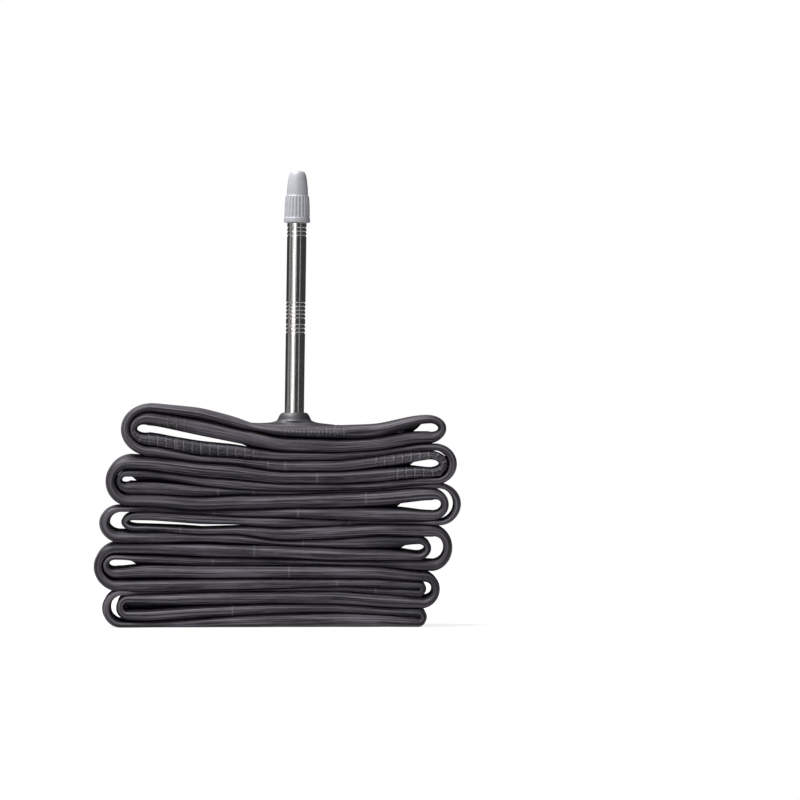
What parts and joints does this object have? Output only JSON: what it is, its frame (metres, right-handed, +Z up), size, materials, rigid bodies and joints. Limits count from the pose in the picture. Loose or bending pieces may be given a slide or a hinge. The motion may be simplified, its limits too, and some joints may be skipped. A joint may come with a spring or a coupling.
{
  "type": "bicycle inner tube",
  "caption": "Folded bicycle inner tube: a flattened butyl loop packed zigzag into a stack, with a long smooth metal valve stem, lock nut, core and fluted dust cap.",
  "frame": {"origin": "centre of the bounding box's underside, on the surface that the stack stands on", "axes": "+Z up along the valve, X along the folded passes, Y across the flattened tube's width"},
  "size_m": [0.1122, 0.027, 0.1409],
  "materials": {
    "butyl": "satin, faint talc bloom, fine lengthwise streaks",
    "valve_rubber": "satin moulded",
    "nickel": "nickel-plated brass, polished, fine turned marks",
    "brass": "turned, bright",
    "gasket": "smooth",
    "seal_rubber": "matte",
    "cap_plastic": "semi-gloss, slightly milky grey"
  },
  "bodies": {
    "tube_and_stem": {"tube": "butyl", "valve_base": "valve_rubber", "valve_stem": "nickel", "core_body": "brass", "core_gasket": "gasket"},
    "cap": {"dust_cap": "cap_plastic"},
    "nut": {"lock_nut": "brass"},
    "pin": {"core_pin": "brass", "pin_seal": "seal_rubber", "pin_washer": "brass"}
  },
  "joints": [
    {"name": "cap_lift", "type": "slide", "parent": "tube_and_stem", "child": "cap", "axis": [0.014, 0, 0.9999], "range_m": [0, 0.03]},
    {"name": "nut_turn", "type": "hinge", "parent": "tube_and_stem", "child": "nut", "pos_m": [0.005, 0, 0.0622], "axis": [0.014, 0, 0.9999], "range_deg": [0, 1080]},
    {"name": "pin_press", "type": "slide", "parent": "tube_and_stem", "child": "pin", "axis": [-0.014, 0, -0.9999], "range_m": [0, 0.0015]}
  ],
  "couplings": [
    {"joint": "nut_turn", "follows": "pin_press", "rad_per_m": 12566}
  ]
}
